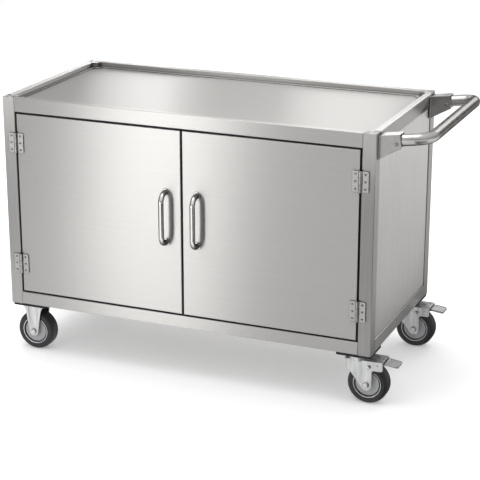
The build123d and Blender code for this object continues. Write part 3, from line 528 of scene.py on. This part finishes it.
# %% The fastener tree
heads_tree = bpy.data.node_groups.new("fastener_heads", "GeometryNodeTree")
for name, kind in (("Places", "Geometry"), ("Head", "Object"), ("Head radius", "Float"),
                   ("Head height", "Float"), ("Facing", "Rotation"), ("Seed", "Int"), ("Finish", "Material")):
    heads_tree.interface.new_socket(name, in_out="INPUT", socket_type=f"NodeSocket{kind}")
heads_tree.interface.new_socket("Heads", in_out="OUTPUT", socket_type="NodeSocketGeometry")
asked = add(heads_tree, "NodeGroupInput").outputs
head = add(heads_tree, "GeometryNodeObjectInfo", Object=asked["Head"])
size = add(heads_tree, "ShaderNodeCombineXYZ", X=asked["Head radius"], Y=asked["Head radius"],
           Z=asked["Head height"])
spots = add(heads_tree, "GeometryNodeInstanceOnPoints", Points=asked["Places"],
            Instance=head.outputs["Geometry"], Rotation=asked["Facing"], Scale=size.outputs["Vector"])
# A Random Value node takes the bounds of a number at sockets 2 and 3 and gives it at socket 1
rest_angle = add(heads_tree, "FunctionNodeRandomValue", {"data_type": "FLOAT"}, i2=0.0, i3=2 * math.pi,
                 Seed=asked["Seed"])
spin = add(heads_tree, "ShaderNodeCombineXYZ", Z=rest_angle.outputs[1])
turned_heads = add(heads_tree, "GeometryNodeRotateInstances", Instances=spots.outputs["Instances"],
                   Rotation=spin.outputs["Vector"])
solid = add(heads_tree, "GeometryNodeRealizeInstances", Geometry=turned_heads.outputs["Instances"])
finished = add(heads_tree, "GeometryNodeSetMaterial", Geometry=solid.outputs["Geometry"],
               Material=asked["Finish"])
add(heads_tree, "NodeGroupOutput", Heads=finished.outputs["Geometry"])
socket_id = {item.name: item.identifier for item in heads_tree.interface.items_tree if item.in_out == "INPUT"}
print("tree inputs:", list(socket_id))

# %% Setting heads
QUARTER = math.pi / 2
FACING = {"-Y": (QUARTER, 0, 0), "+Y": (-QUARTER, 0, 0), "+X": (0, QUARTER, 0), "-Z": (2 * QUARTER, 0, 0)}


def set_heads(kind, places, radius, height, facing, seed, finish):
    """A plain mesh with a head of that kind and finish at each place."""
    points = bpy.data.meshes.new("places")
    points.from_pydata([tuple(place) for place in places], [], [])
    carrier = bpy.data.objects.new("places", points)
    scene.collection.objects.link(carrier)
    modifier = carrier.modifiers.new("heads", "NODES")
    modifier.node_group = heads_tree
    for name, value in (("Head", unit_heads[kind]), ("Head radius", radius), ("Head height", height),
                        ("Facing", FACING[facing]), ("Seed", seed), ("Finish", finish)):
        modifier[socket_id[name]] = value
    graph = bpy.context.evaluated_depsgraph_get()
    mesh = bpy.data.meshes.new_from_object(carrier.evaluated_get(graph), depsgraph=graph)
    bpy.data.objects.remove(carrier)
    return mesh


def joined(name, finish, *meshes):
    """One mesh of one finish from several."""
    shape = bmesh.new()
    for mesh in meshes:
        shape.from_mesh(mesh)
    for face in shape.faces:
        face.material_index = 0
    return mesh_of(shape, name, finish)


print("heads can face", list(FACING))

# %% [markdown]
# ## Hinge and door screws
# Each hinge leaf is held by countersunk screws that lie nearly flush in it, so a head just proud of the leaf
# is set at the front end of every screw. A door's node also holds the two screws of its pull, which come
# from inside the door and end in the pull's legs. The heads set for those lie hidden in the legs, and their
# own heads, shut in between the door's two sheets, are not drawn.

# %% Hinge and door screws
LEAF_RADIUS, LEAF_SINK, LEAF_FLUSH = 3.6 * MM, 1.6 * MM, 0.35 * MM

for name, body, seed in (("hinge_frame", "cabinet", 3), ("left_door", "left_door", 0),
                         ("right_door", "right_door", 1)):
    boxes = solids_of(f"{name}_screws")
    leaf_heads = set_heads("countersunk", seats(boxes, "-Y", LEAF_SINK), LEAF_RADIUS, LEAF_FLUSH, "-Y", seed,
                           screw_steel)
    leaf_heads = joined(f"{name}_screw_heads", screw_steel, leaf_heads)
    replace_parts(show(leaf_heads, body), f"{name}_screws")
    print(name, "screws:", len(boxes))

# %% [markdown]
# ## Fasteners of the handle and the casters
# A rivet goes right through each handle bracket and shows a dome on both sides, and pan screws hold the
# bracket's foot. Both kinds are one CAD node, and only a rivet is long from front to rear. The casters hang
# on hexagon bolts.

# %% Handle and caster fasteners
RIVET_LEAST_LENGTH = 30 * MM
RIVET_RADIUS, RIVET_HEIGHT = 5.5 * MM, 2.5 * MM
FOOT_RADIUS, FOOT_HEIGHT = 5.0 * MM, 3.5 * MM
BOLT_RADIUS, BOLT_HEIGHT = 6.0 * MM, 4.5 * MM

boxes = solids_of("handle_fasteners")
rivets = [(low, high) for low, high in boxes if high.y - low.y > RIVET_LEAST_LENGTH]
screws = [box for box in boxes if box not in rivets]
domes = [set_heads("rivet", seats(rivets, facing, RIVET_HEIGHT), RIVET_RADIUS, RIVET_HEIGHT, facing, seed,
                   screw_steel) for facing, seed in (("-Y", 5), ("+Y", 6))]
foot_heads = set_heads("pan", seats(screws, "+X", FOOT_HEIGHT), FOOT_RADIUS, FOOT_HEIGHT, "+X", 7,
                       screw_steel)
handle_heads = joined("handle_fastener_heads", screw_steel, *domes, foot_heads)
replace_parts(show(handle_heads, "cabinet"), "handle_fasteners")

bolts = solids_of("caster_bolts")
bolt_heads = set_heads("hex", seats(bolts, "-Z", BOLT_HEIGHT), BOLT_RADIUS, BOLT_HEIGHT, "-Z", 8, bright_bolt)
caster_heads = joined("caster_bolt_heads", bright_bolt, bolt_heads)
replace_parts(show(caster_heads, "cabinet"), "caster_bolts")
print("handle:", len(rivets), "rivets,", len(screws), "screws; casters:", len(bolts), "bolts")

# %% [markdown]
# ## Rivets on the fork cheeks
# A swivel fork carries its brake on a rivet through both cheeks, which shows as a bright dome over the
# wheel. It is trim, so it is set here with the same tree, on the outer face of each cheek.

# %% Rivets on the fork cheeks
CHEEK_RADIUS, CHEEK_HEIGHT = 5.0 * MM, 2.0 * MM
CHEEK_FORWARD, CHEEK_UP = 7.5 * MM, 58.0 * MM
for seed, end in enumerate(("front", "rear")):
    low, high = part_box(f"{end}_right_axle")
    axle = (low + high) / 2
    low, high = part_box(f"{end}_right_fork")
    domes = []
    for facing, cheek in (("-Y", low.y), ("+Y", high.y)):
        place = Vector((axle.x + CHEEK_FORWARD, cheek, axle.z + CHEEK_UP))
        domes.append(set_heads("rivet", [place], CHEEK_RADIUS, CHEEK_HEIGHT, facing, seed, bright_bolt))
    show(joined(f"{end}_fork_rivets", bright_bolt, *domes), f"{end}_right_swivel")
    print(end, "fork:", len(domes), "cheek rivets")

# %% [markdown]
# ## Door seals
# The doors close against a black rubber lip that runs round the opening, and one more stands on the left
# door's meeting edge. In the gaps they are all that shows, as thin black lines, and their dead black also
# paints the shade that fills the gaps. Each is one section carried
# along straight runs: round the opening the section is mitred at the corners, like a picture frame.

# %% Seal section and runs
SEAL_SET_BACK = 2.0 * MM
SEAL_DEPTH = 14.0 * MM
SEAL_THICK = 3.0 * MM
LIP = 1.0 * MM
SEAL_BACK = SEAL_SET_BACK + SEAL_DEPTH
# Points of (stand from what carries the seal, distance behind the door's face)
SEAL_SECTION = [(0, SEAL_SET_BACK), (SEAL_THICK - LIP, SEAL_SET_BACK), (SEAL_THICK, SEAL_SET_BACK + LIP),
                (SEAL_THICK, SEAL_BACK - LIP), (SEAL_THICK - LIP, SEAL_BACK), (0, SEAL_BACK)]


def seal_run(name, rings, closed):
    """A seal from rings of points. A closed one joins its last ring to its first, another has capped ends."""
    shape = bmesh.new()
    made = [[shape.verts.new(point) for point in ring] for ring in rings]
    for ring, following in zip(made, made[1:] + made[:1] if closed else made[1:]):
        bridge(shape, ring, following)
    if not closed:
        shape.faces.new(made[0])
        shape.faces.new(made[-1])
    return mesh_of(shape, name, black_rubber_and_gap_shade)


print("a seal's section has", len(SEAL_SECTION), "points")

# %% Door seals
door_low, door_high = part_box("left_door_skin")
left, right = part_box("front_left_post")[1].x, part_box("front_right_post")[0].x
bottom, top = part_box("front_bottom_rail")[1].z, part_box("front_top_rail")[0].z
corners = [(left, bottom, 1, 1), (right, bottom, -1, 1), (right, top, -1, -1), (left, top, 1, -1)]
rings = [[(x + dx * stand, door_low.y + behind, z + dz * stand) for stand, behind in SEAL_SECTION]
         for x, z, dx, dz in corners]
show(seal_run("door_opening_seal", rings, closed=True), "cabinet")
rings = [[(door_high.x + stand, door_low.y + behind, z) for stand, behind in SEAL_SECTION]
         for z in (door_low.z, door_high.z)]
show(seal_run("door_meeting_seal", rings, closed=False), "left_door")
print("opening", round(right - left, 3), "by", round(top - bottom, 3), "m")

# %% [markdown]
# ## Studio
# Metal has no colour of its own to show: it shows the room. A photograph of a room could light it, but a
# few plain levels do the same and can be set one by one. The room is pale overhead and darker towards its
# far walls, which gives the steel something to shade into.

# %% World
# Brightness of the room by the sine of the height angle, from straight down to straight up
ROOM_LEVELS = [(-1.0, 0.80), (-0.06, 0.30), (0.0, 0.14), (0.09, 0.16), (0.20, 0.42), (0.36, 0.70), (1.0, 1.0)]
world = bpy.data.worlds.new("studio")
scene.world = world
world.use_nodes = True
sky = world.node_tree
sky.nodes.clear()
place = add(sky, "ShaderNodeTexCoord")
upward = add(sky, "ShaderNodeSeparateXYZ", Vector=place.outputs["Generated"])
share = add(sky, "ShaderNodeMapRange", Value=upward.outputs["Z"], From_Min=-1.0, From_Max=1.0)
levels = add(sky, "ShaderNodeValToRGB", Fac=share.outputs["Result"])
stops = levels.color_ramp.elements
while len(stops) < len(ROOM_LEVELS):
    stops.new(0.5)
for stop, (height, level) in zip(stops, ROOM_LEVELS):
    stop.position = (height + 1) / 2
    stop.color = (level, level, level, 1)
room = add(sky, "ShaderNodeBackground", Color=levels.outputs["Color"], Strength=1.0)
add(sky, "ShaderNodeOutputWorld", Surface=room.outputs["Background"])
print("room levels:", len(ROOM_LEVELS))

# %% [markdown]
# ## Floor
# The floor is a sheet of white studio paper, wide enough that its edge stays out of sight. White paper
# under soft light still prints a little grey, so it glows faintly where the camera or a mirror sees it. It
# lights the trolley only as paper would.

# %% Floor
FLOOR_HALF = 40.0
FLOOR_GLOW = 0.27


def studio_sheet(name, corners, material):
    """A flat sheet of the studio with four corners, which is no part of the trolley."""
    mesh = bpy.data.meshes.new(name)
    mesh.from_pydata(corners, [], [(0, 1, 2, 3)])
    mesh.materials.append(material)
    sheet = bpy.data.objects.new(name, mesh)
    scene.collection.objects.link(sheet)
    return sheet


floor_paint, tree, output = new_material("white_studio_floor")
paper = add(tree, "ShaderNodeBsdfDiffuse", Color=linear("#F0F0F0"))
rays = add(tree, "ShaderNodeLightPath")
direct = add(tree, "ShaderNodeMath", {"operation": "ADD"}, i0=rays.outputs["Is Camera Ray"],
             i1=rays.outputs["Is Glossy Ray"])
seen = add(tree, "ShaderNodeMath", {"operation": "ADD"}, i0=direct.outputs["Value"],
           i1=rays.outputs["Is Transmission Ray"])
lift = add(tree, "ShaderNodeMath", {"operation": "MULTIPLY"}, i0=seen.outputs["Value"], i1=FLOOR_GLOW)
glow = add(tree, "ShaderNodeEmission", Color=(1, 1, 1, 1), Strength=lift.outputs["Value"])
both = add(tree, "ShaderNodeAddShader", i0=paper.outputs["BSDF"], i1=glow.outputs["Emission"])
tree.links.new(both.outputs["Shader"], output.inputs["Surface"])
studio_sheet("floor", [(-FLOOR_HALF, -FLOOR_HALF, 0), (FLOOR_HALF, -FLOOR_HALF, 0),
                       (FLOOR_HALF, FLOOR_HALF, 0), (-FLOOR_HALF, FLOOR_HALF, 0)], floor_paint)
print("floor:", 2 * FLOOR_HALF, "m square")

# %% [markdown]
# ## Softboxes
# Upright softboxes stand round the trolley as a photographer would set them, and one hangs overhead.
# Brushed steel draws each one out into a soft band across its grain, so their places decide where the bands
# fall on the doors and on the top. Area lamps serve here because they can be seen in reflections and still
# be hidden from the camera.

# %% Softboxes
cabinet_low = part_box("front_left_post")[0]
cabinet_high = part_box("rear_right_post")[1]
middle = (cabinet_low + cabinet_high) / 2


def softbox(name, at, width, height, brightness, aim_height):
    """An area lamp, placed from the cabinet's middle and the floor, that faces a height over that middle."""
    lamp = bpy.data.lights.new(name, "AREA")
    lamp.shape = "RECTANGLE"
    lamp.size = width
    lamp.size_y = height
    lamp.energy = brightness * math.pi * width * height
    stand = bpy.data.objects.new(name, lamp)
    stand.location = (middle.x + at[0], middle.y + at[1], at[2])
    facing = Vector((middle.x, middle.y, aim_height)) - stand.location
    stand.rotation_euler = facing.to_track_quat("-Z", "Y").to_euler()
    stand.visible_camera = False
    scene.collection.objects.link(stand)


softbox("overhead_softbox", (-0.6, -0.4, 3.6), width=2.6, height=1.8, brightness=2.8, aim_height=0.4)
softbox("front_left_strip", (-1.46, -3.3, 0.62), width=0.68, height=1.1, brightness=7.4, aim_height=0.5)
softbox("rear_left_strip", (-1.81, 3.0, 1.7), width=0.44, height=2.4, brightness=4.2, aim_height=1.7)
softbox("rear_strip", (-0.64, 3.0, 1.7), width=0.55, height=2.4, brightness=2.4, aim_height=1.7)
softbox("rear_high_strip", (1.0, 2.8, 2.1), width=1.6, height=1.0, brightness=3.4, aim_height=0.8)
print("softboxes:", len(bpy.data.lights))

# %% [markdown]
# ## Dark cards
# Round bars show the whole floor round them, all of it white. Photographers stand dark cards beside such a
# piece, just out of the picture. Here a card stands on the floor at each side of the camera and is seen
# only in reflections, so it gives the bars their dark flanks and takes no light from anything else.

# %% Dark cards
CARD_HEIGHT = 0.5
# Ends of each card's foot on the floor, from the cabinet's middle
CARD_FEET = {"right_card": ((0.50, -1.35), (1.30, -0.50)), "left_card": ((-1.30, -0.95), (-1.50, -0.20))}


def only_in_reflections(sheet):
    """Hides a sheet of the studio from all but mirrored rays."""
    sheet.visible_camera = False
    sheet.visible_diffuse = False
    sheet.visible_shadow = False


card_paint, tree, output = new_material("dark_grey_card")
felt = add(tree, "ShaderNodeBsdfDiffuse", Color=linear("#404040"))
tree.links.new(felt.outputs["BSDF"], output.inputs["Surface"])
for name, ends in CARD_FEET.items():
    feet = [(middle.x + x, middle.y + y, 0.0) for x, y in ends]
    tops = [(foot[0], foot[1], CARD_HEIGHT) for foot in reversed(feet)]
    only_in_reflections(studio_sheet(name, feet + tops, card_paint))
print("dark cards:", list(CARD_FEET))

# %% [markdown]
# ## Graded card of painted shade
# The end panel faces the floor beyond the handle, and on plain white paper it would be one flat tone. A
# glowing card laid there is seen only in reflections: grey beside the trolley and white further out, it
# paints a reflection of shade into the panel that deepens towards its foot and towards the rear. The card
# glows by two smooth ramps, one outwards and one towards the rear, so no edge of it shows.

# %% Graded card
end_x = cabinet_high.x
CARD_LIFT = 1 * MM
CARD_NEAR, CARD_FAR = end_x + 0.02, end_x + 0.85
CARD_FRONT, CARD_REAR = -1.2, 2.6
OUTWARD_FROM, OUTWARD_TO, OUTWARD_DARK, OUTWARD_LIGHT = end_x + 0.1, end_x + 0.75, 0.2, 1.0
REARWARD_FROM, REARWARD_TO, REARWARD_LIGHT, REARWARD_DARK = 0.4, 1.6, 1.0, 0.45

floor_shade_glow_paint, tree, output = new_material("graded_grey_card")
place = add(tree, "ShaderNodeTexCoord")
spot = add(tree, "ShaderNodeSeparateXYZ", Vector=place.outputs["Object"])
outward = add(tree, "ShaderNodeMapRange", {"interpolation_type": "SMOOTHSTEP"}, Value=spot.outputs["X"],
              From_Min=OUTWARD_FROM, From_Max=OUTWARD_TO, To_Min=OUTWARD_DARK, To_Max=OUTWARD_LIGHT)
rearward = add(tree, "ShaderNodeMapRange", {"interpolation_type": "SMOOTHSTEP"}, Value=spot.outputs["Y"],
               From_Min=REARWARD_FROM, From_Max=REARWARD_TO, To_Min=REARWARD_LIGHT, To_Max=REARWARD_DARK)
shade = add(tree, "ShaderNodeMath", {"operation": "MULTIPLY"}, i0=outward.outputs["Result"],
            i1=rearward.outputs["Result"])
# The card's glow is its tone: painted shade, dark beside the trolley and towards the rear
paper = add(tree, "ShaderNodeEmission", Color=(1, 1, 1, 1), Strength=shade.outputs["Value"])
tree.links.new(paper.outputs["Emission"], output.inputs["Surface"])
card_corners = [(CARD_NEAR, CARD_FRONT, CARD_LIFT), (CARD_FAR, CARD_FRONT, CARD_LIFT),
                (CARD_FAR, CARD_REAR, CARD_LIFT), (CARD_NEAR, CARD_REAR, CARD_LIFT)]
only_in_reflections(studio_sheet("graded_card", card_corners, floor_shade_glow_paint))
print("graded card reaches", round(CARD_FAR - end_x, 2), "m out")

# %% [markdown]
# ## Camera
# The trolley is seen from the front, a little from the right and from above, with a long lens that keeps
# its uprights nearly parallel. The lens is given as a focal length in pixels of the square picture, which
# is what a fit of the picture's own lines yields, and turned into millimetres of the sensor here.

# %% Camera
CAMERA_AZIMUTH = math.radians(22.64)
CAMERA_ELEVATION = math.radians(18.34)
CAMERA_DISTANCE = 5.0
FOCAL_PIXELS = 1581.0
IMAGE_PIXELS = 480
SENSOR_MM = 36.0
AIM_RIGHT = 0.0651
AIM_HEIGHT = 0.364

aim = Vector((middle.x + AIM_RIGHT, middle.y, AIM_HEIGHT))
toward_camera = Vector((math.sin(CAMERA_AZIMUTH) * math.cos(CAMERA_ELEVATION),
                        -math.cos(CAMERA_AZIMUTH) * math.cos(CAMERA_ELEVATION), math.sin(CAMERA_ELEVATION)))
camera_data = bpy.data.cameras.new("camera")
camera_data.sensor_width = SENSOR_MM
camera_data.lens = FOCAL_PIXELS * SENSOR_MM / IMAGE_PIXELS
camera = bpy.data.objects.new("camera", camera_data)
camera.location = aim + toward_camera * CAMERA_DISTANCE
camera.rotation_euler = (-toward_camera).to_track_quat("-Z", "Y").to_euler()
scene.collection.objects.link(camera)
scene.camera = camera
scene.view_settings.view_transform = "Standard"
print("lens:", round(camera_data.lens, 1), "mm")
